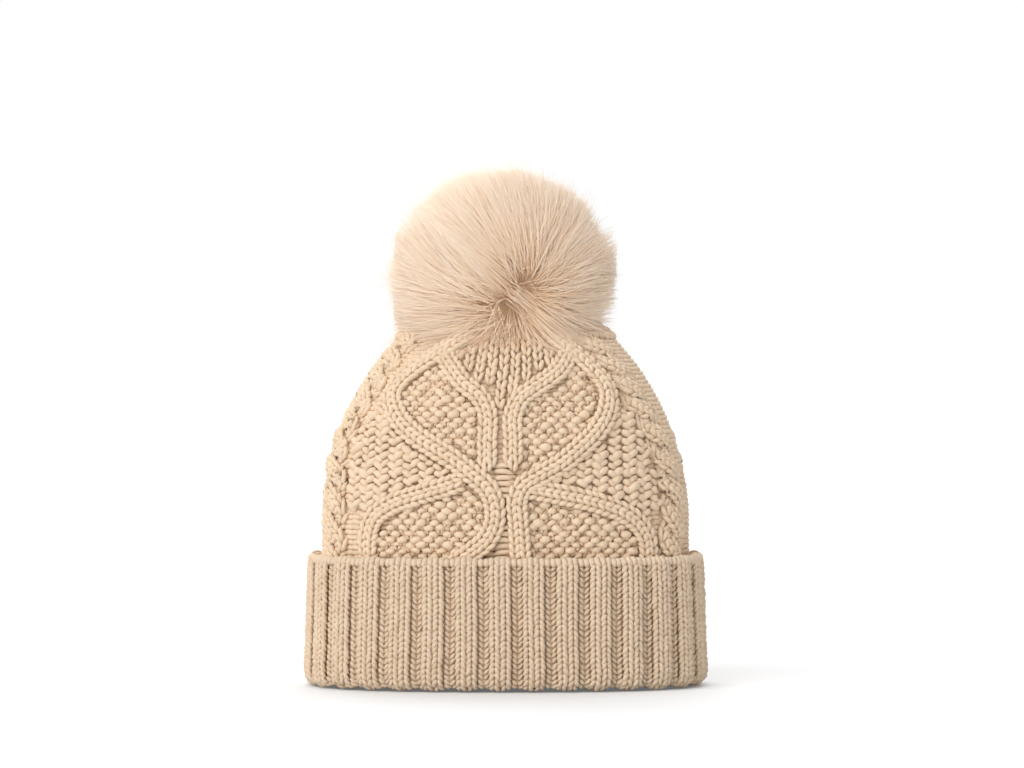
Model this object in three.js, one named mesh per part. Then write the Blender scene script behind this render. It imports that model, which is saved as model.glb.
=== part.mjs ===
// A cable-knit beanie with a turned-up ribbed cuff and a detachable faux-fur pom.
// Millimetres, +Z up. The hat stands on the rim of its cuff with its front towards -Y,
// and the origin is the centre of that rim.

import * as THREE from 'three';

// ---- Driving dimensions ----

const SIDES = 48; // flats round each oval shell
const ROUND = 24; // flats round each turned piece
const GAP = 0.4; // air left between neighbouring pieces

// Turned-up cuff: the oval narrows slightly from the rim to its top edge.
const CUFF_HEIGHT = 75;
const CUFF_RIM_HALF_WIDTH = 115.6;
const CUFF_TOP_HALF_WIDTH = 113;
const CUFF_HALF_DEPTH = 74;
const CUFF_WALL = 5;
const CUFF_FOLD_DEPTH = 10.6; // how far the fold at the rim reaches in under the inner band
const CUFF_SQUARENESS = 2.4; // superellipse power: 2 is an ellipse, more is boxier
const RIM_ROUND = 4; // radius of the fold's lower edges
const TOP_ROUND = 1.6; // radius of the cuff's top edges

// Layers inside the cuff.
const BAND_TOP = 74;
const BAND_WALL = 4.8;
const FLEECE_WALL = 2.8;
const FLEECE_FOOT = 8;
const FLEECE_TOP = 69;

// Crown: straight for a while above the cuff, then a dome with a dimpled top.
const CROWN_FOOT = 74.4;
const CROWN_HALF_WIDTH = 105;
const CROWN_SHOULDER = 96; // height where the sides start to lean in
const CROWN_RISE = 130.4; // height over which the lean would close the dome
const CROWN_LEAN = 1.8;
const CROWN_SIDE_TOP = 202; // height where the dome meets its dimpled top
const CROWN_SIDE_ROWS = 10;
const CROWN_WALL = 5;
const CROWN_FOOT_FLATTENING = 0.62; // depth over width at the foot
const CROWN_TOP_FLATTENING = 0.76; // depth over width where the dimpled top begins
const CROWN_ROUNDING = 2; // how late the plan turns less boxy
const CROWN_TOP = [[45, 208.2], [30, 210.8], [18, 208.8], [11, 206.4], [5.2, 205.5]]; // radius, height

// The pom tips about a point in the thickness of the crown's top.
const TIP = 205;

// Ball of the pom: pile round a gathered backing, round its filling.
const FUR_SIDES = 36; // flats round the ball of fur
const FUR_RADIUS = 60;
const FUR_CENTRE = 237;
const FUR_UNDERSIDE = [[13.2, 219], [34, 221.5], [52, 221]]; // radius, height, clear of the crown
const FUR_EDGE = 219; // height where the underside meets the ball
const PELT_RADIUS = 26;
const PELT_WALL = 1.2;
const PELT_CENTRE = 242;
const PELT_MOUTH = 218.1;
const FILLING_FOOT = 218.5;
const BALL_ROWS = 10;

// Press stud that holds the pom. Heights are above TIP.
const BUTTON_RADIUS = 6.3;
const POST_RADIUS = 2.2;
const WASHER_RADIUS = 9;
const DISC_RADIUS = 17;

// ---- Materials ----

const material = (color, roughness, metalness = 0) =>
  new THREE.MeshStandardMaterial({ color, roughness, metalness });

const yarn = material(0xd6b894, 0.95);
const ribbing = material(0xcdb18c, 0.95);
const fleece = material(0xe4d6c2, 1);
const thread = material(0xc9ab84, 0.85);
const felt = material(0xcdbda6, 1);
const label = material(0xf2ece0, 0.8);
const nickel = material(0xb9bbbe, 0.3, 1);
const board = material(0xe8e4dc, 0.6);
const backing = material(0xd9c1a2, 0.9);
const wadding = material(0xf4f0ea, 1);
const fur = material(0xead0b2, 0.9);

// ---- Shape helpers ----

// Distance from the axis to a superellipse, in the direction of an angle.
function ovalRadius(angle, halfWidth, halfDepth, power) {
  const across = Math.abs(Math.cos(angle) / halfWidth) ** power;
  const along = Math.abs(Math.sin(angle) / halfDepth) ** power;
  return (across + along) ** (-1 / power);
}

// A ring-shaped solid through oval stations. The stations go up the outside and down the
// inside, and the last one joins the first.
function ovalShell(stations) {
  const positions = [];
  const triangles = [];
  const rows = stations.length;
  for (const { halfWidth, halfDepth, power, z } of stations) {
    for (let side = 0; side < SIDES; side += 1) {
      const angle = (2 * Math.PI * side) / SIDES;
      const radius = ovalRadius(angle, halfWidth, halfDepth, power);
      positions.push(radius * Math.cos(angle), radius * Math.sin(angle), z);
    }
  }
  for (let row = 0; row < rows; row += 1) {
    const above = (row + 1) % rows;
    for (let side = 0; side < SIDES; side += 1) {
      const next = (side + 1) % SIDES;
      const a = row * SIDES + side;
      const b = row * SIDES + next;
      const c = above * SIDES + next;
      const d = above * SIDES + side;
      triangles.push(a, b, c, a, c, d);
    }
  }
  const geometry = new THREE.BufferGeometry();
  geometry.setAttribute('position', new THREE.Float32BufferAttribute(positions, 3));
  geometry.setIndex(triangles);
  geometry.computeVertexNormals();
  return geometry;
}

// A piece turned about Z from [radius, height] points that run anticlockwise in section.
function turned(points, flats = ROUND) {
  const profile = points.map(([radius, height]) => new THREE.Vector2(radius, height));
  const geometry = new THREE.LatheGeometry(profile, flats);
  geometry.rotateX(Math.PI / 2);
  return geometry;
}

// A turned washer with a square section.
function washer(inner, outer, bottom, top) {
  const section = [[inner, bottom], [outer, bottom], [outer, top], [inner, top], [inner, bottom]];
  return turned(section);
}

// Points on a ball's meridian from one height to another, both ends included.
function meridian(radius, centre, fromHeight, toHeight) {
  const polar = (height) => Math.acos(THREE.MathUtils.clamp((height - centre) / radius, -1, 1));
  const start = polar(fromHeight);
  const end = polar(toHeight);
  const points = [];
  for (let row = 0; row <= BALL_ROWS; row += 1) {
    const angle = THREE.MathUtils.lerp(start, end, row / BALL_ROWS);
    points.push([Math.abs(radius * Math.sin(angle)), centre + radius * Math.cos(angle)]);
  }
  return points;
}

// A round cord of the given radius along a curve.
function cordAlong(curve, radius, steps, sides) {
  const section = new THREE.Shape();
  for (let side = 0; side < sides; side += 1) {
    const angle = (2 * Math.PI * side) / sides;
    const x = radius * Math.cos(angle);
    const y = radius * Math.sin(angle);
    if (side === 0) section.moveTo(x, y);
    else section.lineTo(x, y);
  }
  section.closePath();
  return new THREE.ExtrudeGeometry(section, { steps, bevelEnabled: false, extrudePath: curve });
}

const hat = new THREE.Group();

function addPiece(name, geometry, finish) {
  const mesh = new THREE.Mesh(geometry, finish);
  mesh.name = name;
  hat.add(mesh);
  return mesh;
}

// ---- Cuff and the layers inside it ----

// A station of a layer in the cuff, set in from the cuff's outer face.
function cuffStation(inset, z) {
  const climb = THREE.MathUtils.clamp(z / CUFF_HEIGHT, 0, 1);
  const halfWidth = THREE.MathUtils.lerp(CUFF_RIM_HALF_WIDTH, CUFF_TOP_HALF_WIDTH, climb) - inset;
  return { halfWidth, halfDepth: CUFF_HALF_DEPTH - inset, power: CUFF_SQUARENESS, z };
}

// A plain band between two insets and two heights.
function cuffLayer(inset, wall, foot, top) {
  const middle = (foot + top) / 2;
  return ovalShell([
    cuffStation(inset, foot),
    cuffStation(inset, middle),
    cuffStation(inset, top),
    cuffStation(inset + wall, top),
    cuffStation(inset + wall, middle),
    cuffStation(inset + wall, foot),
  ]);
}

// The cuff is J-shaped in section: the outer wall, and the fold that turns in at the rim.
function cuffGeometry() {
  const chamfer = 1 - Math.SQRT1_2;
  const foldTop = CUFF_WALL;
  return ovalShell([
    cuffStation(RIM_ROUND, 0),
    cuffStation(RIM_ROUND * chamfer, RIM_ROUND * chamfer),
    cuffStation(0, RIM_ROUND),
    cuffStation(0, CUFF_HEIGHT / 2),
    cuffStation(0, CUFF_HEIGHT - TOP_ROUND),
    cuffStation(TOP_ROUND * chamfer, CUFF_HEIGHT - TOP_ROUND * chamfer),
    cuffStation(TOP_ROUND, CUFF_HEIGHT),
    cuffStation(CUFF_WALL - TOP_ROUND, CUFF_HEIGHT),
    cuffStation(CUFF_WALL, CUFF_HEIGHT - TOP_ROUND),
    cuffStation(CUFF_WALL, CUFF_HEIGHT / 2),
    cuffStation(CUFF_WALL, foldTop),
    cuffStation(CUFF_FOLD_DEPTH, foldTop),
    cuffStation(CUFF_FOLD_DEPTH, TOP_ROUND),
    cuffStation(CUFF_FOLD_DEPTH - TOP_ROUND, 0),
  ]);
}

const bandInset = CUFF_WALL + GAP;
const fleeceInset = bandInset + BAND_WALL + GAP;

addPiece('rib_cuff', cuffGeometry(), ribbing);
addPiece('inner_rib_band', cuffLayer(bandInset, BAND_WALL, CUFF_WALL + GAP, BAND_TOP), ribbing);
addPiece('fleece_band', cuffLayer(fleeceInset, FLEECE_WALL, FLEECE_FOOT, FLEECE_TOP), fleece);

// ---- Crown ----

function crownHalfWidth(z) {
  const lean = Math.max(0, (z - CROWN_SHOULDER) / CROWN_RISE) ** CROWN_LEAN;
  return CROWN_HALF_WIDTH * Math.sqrt(1 - lean);
}

// The plan gets deeper as it climbs, and less boxy near the top.
function crownStation(halfWidth, z) {
  const climb = (z - CROWN_FOOT) / (CROWN_SIDE_TOP - CROWN_FOOT);
  const flattening = THREE.MathUtils.lerp(CROWN_FOOT_FLATTENING, CROWN_TOP_FLATTENING, climb);
  const power = THREE.MathUtils.lerp(CUFF_SQUARENESS, 2, climb ** CROWN_ROUNDING);
  return { halfWidth, halfDepth: halfWidth * flattening, power, z };
}

// The crown's outer line from its foot to the hole in its top.
function crownOutline() {
  const stations = [];
  for (let row = 0; row <= CROWN_SIDE_ROWS; row += 1) {
    const climb = 1 - (1 - row / CROWN_SIDE_ROWS) ** 1.5; // rows crowd towards the curved top
    const z = THREE.MathUtils.lerp(CROWN_FOOT, CROWN_SIDE_TOP, climb);
    stations.push(crownStation(crownHalfWidth(z), z));
  }
  const rim = crownHalfWidth(CROWN_SIDE_TOP);
  for (const [radius, z] of CROWN_TOP) {
    const outward = THREE.MathUtils.clamp((radius - DISC_RADIUS) / (rim - DISC_RADIUS), 0, 1);
    const flattening = THREE.MathUtils.lerp(1, CROWN_TOP_FLATTENING, outward);
    stations.push({ halfWidth: radius, halfDepth: radius * flattening, power: 2, z });
  }
  return stations;
}

// The same line moved in by the wall, at right angles to the front view's outline.
function insetOutline(outline, wall) {
  const last = outline.length - 1;
  return outline.map((station, row) => {
    const before = outline[Math.max(row - 1, 0)];
    const after = outline[Math.min(row + 1, last)];
    const run = after.halfWidth - before.halfWidth;
    const rise = after.z - before.z;
    const length = Math.hypot(run, rise);
    const inward = row === last ? 0 : (wall * rise) / length;
    const downward = row === 0 ? 0 : (-wall * run) / length;
    return {
      halfWidth: station.halfWidth - inward,
      halfDepth: station.halfDepth - inward,
      power: station.power,
      z: station.z - (row === last ? wall : downward),
    };
  });
}

const crownOuter = crownOutline();
const crownInner = insetOutline(crownOuter, CROWN_WALL);
addPiece('cable_crown', ovalShell([...crownOuter, ...crownInner.toReversed()]), yarn);

// ---- Sewn trim ----

// The seam yarn runs up the inside of the back, clear of the crown.
function seamCurve() {
  const radius = 1.2;
  const points = crownInner
    .filter(({ z }) => z > BAND_TOP + 6 && z < CROWN_SIDE_TOP - 16)
    .map(({ halfDepth, z }) => new THREE.Vector3(0, halfDepth - radius - 2 * GAP, z));
  return { curve: new THREE.CatmullRomCurve3(points), radius };
}

const seam = seamCurve();
addPiece('back_seam_cord', cordAlong(seam.curve, seam.radius, 24, 6), thread);

// A blank woven label hangs inside the back, in front of the fleece.
const LABEL_WIDTH = 26;
const LABEL_HEIGHT = 40;
const LABEL_THICKNESS = 0.8;
const labelPiece = addPiece(
  'care_label', new THREE.BoxGeometry(LABEL_WIDTH, LABEL_THICKNESS, LABEL_HEIGHT), label);
const fleeceInnerDepth = CUFF_HALF_DEPTH - fleeceInset - FLEECE_WALL;
labelPiece.position.set(0, fleeceInnerDepth - LABEL_THICKNESS / 2 - 3 * GAP, BAND_TOP - LABEL_HEIGHT / 2);

// Two thread tacks bridge the gap between the crown and the cuff's top edge at the sides.
const TACK_RADIUS = 0.8;
const TACK_LENGTH = 5;
for (const [name, way] of [['cuff_tack_left', -1], ['cuff_tack_right', 1]]) {
  const geometry = new THREE.CylinderGeometry(TACK_RADIUS, TACK_RADIUS, TACK_LENGTH, 8);
  geometry.rotateZ(Math.PI / 2);
  const tack = addPiece(name, geometry, thread);
  const x = CROWN_HALF_WIDTH + 2 * GAP + TACK_LENGTH / 2;
  tack.position.set(way * x, 0, CUFF_HEIGHT + GAP + TACK_RADIUS);
}

// ---- Gathered top and the hat's half of the press stud ----

addPiece('crown_gather_cord', new THREE.TorusGeometry(9.3, 1, 8, ROUND), thread);
hat.getObjectByName('crown_gather_cord').position.z = TIP + 5.5;

addPiece('felt_washer', washer(2.6, WASHER_RADIUS, TIP - 8.4, TIP - 6.9), felt);

addPiece('snap_socket_cap', turned([
  [0, TIP - 10.6], [BUTTON_RADIUS, TIP - 10.6], [BUTTON_RADIUS, TIP - 8.8],
  [POST_RADIUS, TIP - 8.8], [POST_RADIUS, TIP + 3.6], [0, TIP + 3.6],
]), nickel);

addPiece('snap_socket', turned([
  [2.6, TIP + 2.8], [BUTTON_RADIUS, TIP + 2.8], [BUTTON_RADIUS, TIP + 5.8], [5.6, TIP + 6.8],
  [3.9, TIP + 6.8], [3.9, TIP + 6], [5.1, TIP + 5.9], [5.1, TIP + 4.2], [2.6, TIP + 3.7],
  [2.6, TIP + 2.8],
]), nickel);

// The ring spring is a split wire ring in the socket's groove.
function ringSpringGeometry() {
  const radius = 4.5;
  const split = THREE.MathUtils.degToRad(30);
  const points = [];
  for (let step = 0; step <= ROUND; step += 1) {
    const angle = split / 2 + ((2 * Math.PI - split) * step) / ROUND;
    points.push(new THREE.Vector3(radius * Math.cos(angle), radius * Math.sin(angle), TIP + 5.05));
  }
  return cordAlong(new THREE.CatmullRomCurve3(points), 0.32, ROUND, 6);
}

addPiece('snap_ring_spring', ringSpringGeometry(), nickel);

// ---- The pom's half of the press stud ----

addPiece('snap_stud', turned([
  [0, TIP + 4.1], [2.2, TIP + 4.1], [3.5, TIP + 4.8], [3.5, TIP + 5.2], [2.6, TIP + 6],
  [2.6, TIP + 7.6], [BUTTON_RADIUS, TIP + 7.6], [BUTTON_RADIUS, TIP + 8.6],
  [1.8, TIP + 8.6], [1.8, TIP + 5.6], [0, TIP + 5.6],
]), nickel);

addPiece('pom_base_disc', washer(2, DISC_RADIUS, TIP + 9, TIP + 10.6), board);

addPiece('snap_stud_cap', turned([
  [0, TIP + 6], [1.4, TIP + 6], [1.4, TIP + 11], [BUTTON_RADIUS, TIP + 11],
  [BUTTON_RADIUS, TIP + 12.2], [0, TIP + 12.2],
]), nickel);

addPiece('pom_gather_thread', new THREE.TorusGeometry(12.5, 0.8, 8, ROUND), thread);
hat.getObjectByName('pom_gather_thread').position.z = TIP + 12.2;

// ---- Pom ----

const peltTop = PELT_CENTRE + PELT_RADIUS;
const peltInner = PELT_RADIUS - PELT_WALL;
const peltOutside = meridian(PELT_RADIUS, PELT_CENTRE, PELT_MOUTH, peltTop);
const peltInside = meridian(peltInner, PELT_CENTRE, PELT_CENTRE + peltInner, PELT_MOUTH);
addPiece('pom_pelt', turned([...peltInside, ...peltOutside]), backing);

const fillingRadius = peltInner - GAP;
const fillingSide = meridian(fillingRadius, PELT_CENTRE, FILLING_FOOT, PELT_CENTRE + fillingRadius);
addPiece('pom_filling', turned([[0, FILLING_FOOT], ...fillingSide]), wadding);

const furInner = PELT_RADIUS + GAP;
const furInside = meridian(furInner, PELT_CENTRE, PELT_CENTRE + furInner, FUR_UNDERSIDE[0][1]);
const furOutside = meridian(FUR_RADIUS, FUR_CENTRE, FUR_EDGE, FUR_CENTRE + FUR_RADIUS);
furInside[furInside.length - 1] = FUR_UNDERSIDE[0];
addPiece('pom_fur', turned([...furInside, ...FUR_UNDERSIDE.slice(1), ...furOutside], FUR_SIDES), fur);

export default hat;
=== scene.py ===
"""Pom pom beanie: the knitted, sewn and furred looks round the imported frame.

Shapes are worked out in millimetres.
"""

import math

import bpy
import numpy as np
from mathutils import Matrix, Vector


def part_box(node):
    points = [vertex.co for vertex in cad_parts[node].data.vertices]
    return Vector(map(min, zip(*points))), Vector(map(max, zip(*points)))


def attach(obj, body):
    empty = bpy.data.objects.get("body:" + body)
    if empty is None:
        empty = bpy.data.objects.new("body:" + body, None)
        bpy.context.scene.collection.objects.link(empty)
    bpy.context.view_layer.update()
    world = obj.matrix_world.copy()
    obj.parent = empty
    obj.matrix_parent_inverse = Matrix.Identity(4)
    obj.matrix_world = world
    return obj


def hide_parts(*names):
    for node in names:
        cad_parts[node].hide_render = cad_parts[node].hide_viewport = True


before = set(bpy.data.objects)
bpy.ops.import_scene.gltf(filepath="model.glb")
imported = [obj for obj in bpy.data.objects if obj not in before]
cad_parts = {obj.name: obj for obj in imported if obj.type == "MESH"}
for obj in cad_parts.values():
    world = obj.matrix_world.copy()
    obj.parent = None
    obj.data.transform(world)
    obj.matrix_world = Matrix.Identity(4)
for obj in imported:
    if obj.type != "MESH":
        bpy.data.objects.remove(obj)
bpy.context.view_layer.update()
scene = bpy.context.scene
rng = np.random.default_rng(20)
MM = 0.001


# ---- small maths


def joined(parts, axis=0):
    return np.concatenate(parts, axis)


def unit(vectors):
    vectors = np.asarray(vectors, float)
    return vectors / np.maximum(np.linalg.norm(vectors, axis=-1, keepdims=True), 1e-9)


def distances(points):
    """How far along a line of points each of them is."""
    step = np.linalg.norm(np.diff(points, axis=0), axis=1)
    return joined([[0], np.cumsum(step)])


def smooth_step(x):
    x = np.clip(x, 0, 1)
    return x * x * (3 - 2 * x)


def spline(points, count):
    """Points of a smooth line through the given points, spaced by chord length."""
    p = np.asarray(points, float)
    t = distances(p)
    slope = np.gradient(p, t, axis=0)
    at = np.linspace(0, t[-1], count)
    k = np.clip(np.searchsorted(t, at, side="right") - 1, 0, len(t) - 2)
    h = (t[k + 1] - t[k])[:, None]
    u = ((at - t[k]) / (t[k + 1] - t[k]))[:, None]
    return (
        (2 * u**3 - 3 * u**2 + 1) * p[k]
        + (u**3 - 2 * u**2 + u) * h * slope[k]
        + (3 * u**2 - 2 * u**3) * p[k + 1]
        + (u**3 - u**2) * h * slope[k + 1]
    )


def inside(polygon, x, z):
    """Which points (x, z) lie inside a closed outline."""
    result = np.zeros(len(x), bool)
    ax, az = polygon[:, 0], polygon[:, 1]
    bx, bz = np.roll(ax, -1), np.roll(az, -1)
    for x0, z0, x1, z1 in zip(ax, az, bx, bz):
        if z0 != z1:
            crosses = (z0 > z) != (z1 > z)
            result ^= crosses & (x < (x1 - x0) * (z - z0) / (z1 - z0) + x0)
    return result


# ---- meshes


def placed(name, data):
    """A new object in the scene."""
    made = bpy.data.objects.new(name, data)
    scene.collection.objects.link(made)
    return made


class Heap:
    """Many small closed shapes gathered into one mesh."""

    def __init__(self):
        self.points, self.faces, self.sizes, self.tones, self.used = [], [], [], [], 0

    def add(self, rings, tones, closed, capped):
        """N shapes of R rings of C points (N, R, C, 3), each ring joined to the next."""
        count, rows, columns = rings.shape[:3]
        self.points.append(rings.reshape(-1, 3))
        self.tones.append(np.broadcast_to(tones, (count, rows, columns)).ravel())
        first = self.used + np.arange(count)[:, None] * rows * columns
        row = np.arange(rows if closed else rows - 1)[:, None]
        column = np.arange(columns)
        low, high, after = row * columns, (row + 1) % rows * columns, (column + 1) % columns
        corners = np.stack([low + column, low + after, high + after, high + column], -1)
        faces = [(first[..., None, None] + corners).reshape(-1, 4)]
        if capped:
            faces += [first + column[::-1], first + (rows - 1) * columns + column]
        for same_size in faces:
            self.faces.append(same_size.ravel())
            self.sizes.append(np.full(len(same_size), same_size.shape[1]))
        self.used += count * rows * columns

    def tubes(self, centres, ups, widths, heights, sides=7, tones=0.0, turned=0.0):
        """Tubes along centres (N, K, 3); width lies across the up direction, height along it."""
        count, stations = centres.shape[:2]
        forward = unit(np.gradient(centres, axis=1))
        across = unit(np.cross(forward, ups))
        above = np.cross(across, forward)
        turn = math.tau * np.arange(sides) / sides + turned
        widths = np.broadcast_to(widths, (count, stations))[..., None, None] / 2
        heights = np.broadcast_to(heights, (count, stations))[..., None, None] / 2
        rings = (
            centres[:, :, None]
            + across[:, :, None] * widths * np.cos(turn)[:, None]
            + above[:, :, None] * heights * np.sin(turn)[:, None]
        )
        tones = np.asarray(tones, float)
        tones = tones if tones.ndim == 2 else tones.reshape(-1, 1)
        self.add(rings, tones[..., None], closed=False, capped=True)

    def lay(self, surface, f, v, lift, width, height, **more):
        """Tubes lying on a surface along (f, v), raised by lift; (K,) stations make a single tube."""
        f, v = np.atleast_2d(f), np.atleast_2d(v)
        self.tubes(surface.at(f, v, lift), surface.normal(f, v), width, height, **more)

    def grid(self, rings, tones=0.0, closed=False, capped=False):
        """Rings (R, C, 3) of points joined side by side. closed joins the last ring to the first;
        capped closes off both end rings."""
        self.add(rings[None], tones, closed, capped)

    def build(self, name, body, look, slot=None, replaces=(), smooth=True):
        """The heap as one piece that rides on a body and stands for CAD nodes; the slot argument is not used."""
        points = joined(self.points) * MM
        faces = joined(self.faces)
        sizes = joined(self.sizes)
        mesh = bpy.data.meshes.new(name)
        mesh.vertices.add(len(points))
        mesh.vertices.foreach_set("co", points.astype(np.float32).ravel())
        mesh.loops.add(len(faces))
        mesh.loops.foreach_set("vertex_index", faces.astype(np.int32))
        mesh.polygons.add(len(sizes))
        starts = joined([[0], np.cumsum(sizes)[:-1]])
        mesh.polygons.foreach_set("loop_start", starts.astype(np.int32))
        mesh.polygons.foreach_set("use_smooth", np.full(len(sizes), smooth))
        mesh.update(calc_edges=True)
        mesh.validate()
        tone = mesh.attributes.new("tone", "FLOAT", "POINT")
        tone.data.foreach_set("value", joined(self.tones).astype(np.float32))
        mesh.materials.append(look)
        piece = placed(name, mesh)
        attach(piece, body)
        if replaces:
            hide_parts(*replaces)
        return piece


# ---- surfaces


class Surface:
    """A surface wrapped round Z.

    f is a share of the way round, 0 at the front and growing towards +X; v is millimetres along the section.
    """

    COLUMNS = 720

    def __init__(self, half_width, half_depth, power, height, spacing=1.0):
        rise = np.hypot(np.diff(half_width), np.diff(height))
        along = joined([[0], np.cumsum(rise)])
        rows = max(int(along[-1] / spacing), 4)
        self.v = np.linspace(0, along[-1], rows + 1)
        self.z, self.half_width, self.half_depth, power = (
            np.interp(self.v, along, values) for values in (height, half_width, half_depth, power)
        )
        turn = np.linspace(0, math.tau, 4 * self.COLUMNS + 1)
        sine, cosine = np.sin(turn), np.cos(turn)
        share = np.linspace(0, 1, self.COLUMNS + 1)
        table = np.zeros((rows + 1, self.COLUMNS + 1, 3))
        self.round = np.zeros(rows + 1)
        for i, (w, d, n, z) in enumerate(zip(self.half_width, self.half_depth, power, self.z)):
            x = w * np.sign(sine) * np.abs(sine) ** (2 / n)
            y = -d * np.sign(cosine) * np.abs(cosine) ** (2 / n)
            arc = joined([[0], np.cumsum(np.hypot(np.diff(x), np.diff(y)))])
            self.round[i] = arc[-1]
            around = [np.interp(share, arc / arc[-1], line) for line in (x, y)]
            table[i] = np.stack([*around, np.full(len(share), z)], -1)
        self.table = table
        ring = table[:, :-1]
        around = np.roll(ring, -1, 1) - np.roll(ring, 1, 1)
        up = np.gradient(ring, axis=0)
        normal = unit(np.cross(around, up))
        self.normals = joined([normal, normal[:, :1]], 1)

    def _mix(self, grid, f, v):
        f, v = np.broadcast_arrays(np.asarray(f, float) % 1.0, np.asarray(v, float))
        column = f * self.COLUMNS
        row = np.clip(v / self.v[-1], 0, 1) * (len(self.v) - 1)
        c0 = np.minimum(column.astype(int), self.COLUMNS - 1)
        r0 = np.minimum(row.astype(int), len(self.v) - 2)
        a, b = (column - c0)[..., None], (row - r0)[..., None]
        return (
            grid[r0, c0] * (1 - a) * (1 - b)
            + grid[r0, c0 + 1] * a * (1 - b)
            + grid[r0 + 1, c0] * (1 - a) * b
            + grid[r0 + 1, c0 + 1] * a * b
        )

    def normal(self, f, v):
        return unit(self._mix(self.normals, f, v))

    def at(self, f, v, lift=0.0):
        """The point at (f, v), raised off the surface by lift."""
        lift = np.asarray(lift, float)[..., None]
        return self._mix(self.table, f, v) + self.normal(f, v) * lift

    def girth(self, v):
        return np.interp(v, self.v, self.round)

    def from_front(self, x, z):
        """(f, v) of the point on the front that shows at x and height z from straight ahead."""
        v = self.v_at(z)
        quarter = self.COLUMNS // 4
        f = []
        for xi, vi in zip(x, v):
            row = self.table[int(round(vi / self.v[-1] * (len(self.v) - 1)))]
            share = np.interp(abs(xi), row[: quarter + 1, 0], np.arange(quarter + 1))
            f.append(math.copysign(share / self.COLUMNS, xi))
        return np.array(f), v

    def v_at(self, z):
        """v of height z on the way up the outside."""
        rising = slice(self.z.argmin(), self.z.argmax() + 1)
        return np.interp(z, self.z[rising], self.v[rising])


class Line:
    """A line drawn on a surface, measured in millimetres along it."""

    def __init__(self, surface, f, v):
        self.surface, self.f, self.v = surface, np.asarray(f, float), np.asarray(v, float)
        self.spots = surface.at(self.f, self.v)
        step = np.linalg.norm(np.diff(self.spots, axis=0), axis=1)
        self.s = joined([[0], np.cumsum(np.maximum(step, 1e-6))])
        self.length = self.s[-1]
        self.df = np.gradient(self.f, self.s) * surface.girth(self.v)
        self.dv = np.gradient(self.v, self.s)

    def beside(self, s, across):
        """(f, v) of the points at distance s along the line and across to its right."""
        s = np.asarray(s, float)
        df = np.interp(s, self.s, self.df)
        dv = np.interp(s, self.s, self.dv)
        size = np.maximum(np.hypot(df, dv), 1e-9)
        v = np.interp(s, self.s, self.v)
        past = s - np.clip(s, 0, self.length)
        f = np.interp(s, self.s, self.f) + (dv * across + df * past) / size / self.surface.girth(v)
        return f, v + (-df * across + dv * past) / size


def front_line(surface, points, turned=0.0, count=240):
    """A smooth line through (x, z) points as seen from the front; turned moves it round the surface."""
    path = spline(points, count)
    f, v = surface.from_front(path[:, 0], path[:, 1])
    return Line(surface, f + turned, v)


# ---- stitches

LEG_SHAPE = np.array([0.42, 0.9, 1.0, 0.92, 0.45])  # a leg's thickness at its five stations
LEG_ALONG = np.array([-0.66, -0.37, 0.0, 0.37, 0.66])  # where the stations lie, in rows
LEG_LIFT = np.array([-1.0, 0.05, 0.5, 0.2, -0.9])
LEG_SHARE = (LEG_ALONG - LEG_ALONG[0]) / (LEG_ALONG[-1] - LEG_ALONG[0])
TONE_SPREAD = 0.35


def legs(
    heap, line, places, rows, near, far, row, size, lift=None, upright=True, jitter=0.05, tone=0.0, reach=1.0
):
    """V stitches in columns along a line. places: how far each column's middle is across from the line;
    near and far: how far a leg's ends are from that middle; size: a leg's width and thickness."""
    spread = near + (far - near) * (LEG_SHARE if upright else 1 - LEG_SHARE)
    for place in places:
        for side in (-1, 1):
            wobble = rng.normal(0, jitter, (4, len(rows), 1))
            along = rows[:, None] + LEG_ALONG * reach * row * (1 + wobble[0]) + wobble[1] * row
            f, v = line.beside(along, place + side * spread[None, :] * (1 + 0.5 * wobble[2]))
            base = np.atleast_1d(lift(rows, place + side * (near + far) / 2))[:, None] if lift else 0.0
            shape = LEG_SHAPE * (1 + wobble[2])
            heap.lay(
                line.surface, f, v, base + LEG_LIFT + wobble[3] * 2, shape * size[0], shape * size[1],
                tones=tone + rng.normal(0, TONE_SPREAD, len(rows)),
            )


def strand(heap, line, pitch, row, rise, size, lift=None, blunt=0.0):
    """A raised cable strand: two wales of V stitches side by side, rounded over its width, on a soft
    core. With blunt it begins with one narrow stitch, and its wales a quarter of blunt later."""
    end = line.length
    rows = np.arange(row / 2, end - row / 4, row)
    over = lift if lift else (lambda s: 0 * s)

    def height(s, across):
        return rise * np.sqrt(max(1 - 0.62 * (across / pitch) ** 2, 0)) + over(s)

    late = rows + blunt / 4
    wales = (-pitch / 2, pitch / 2)
    legs(heap, line, wales, late[late < end], 0.09 * pitch, 0.47 * pitch, row, size, height)
    if blunt:
        legs(heap, line, [0.0], rows[:1] - 0.45 * row, 0.15 * pitch, 0.42 * pitch, row, size, height)
    # The soft core is painted darker: painted shade under the strand.
    core = np.linspace(0, end, max(int(end / 2.5), 6))
    f, v = line.beside(core, 0 * core)
    taper = np.clip(np.minimum(core, end - core) / 4 + 0.4, 0, 1)
    under = rise * 0.45 + over(core) - 0.9
    width, thick = taper * (2 * pitch - 1.2), taper * (rise + 1.6)
    heap.lay(line.surface, f, v, under, width, thick, sides=10, tones=-1.2)


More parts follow.
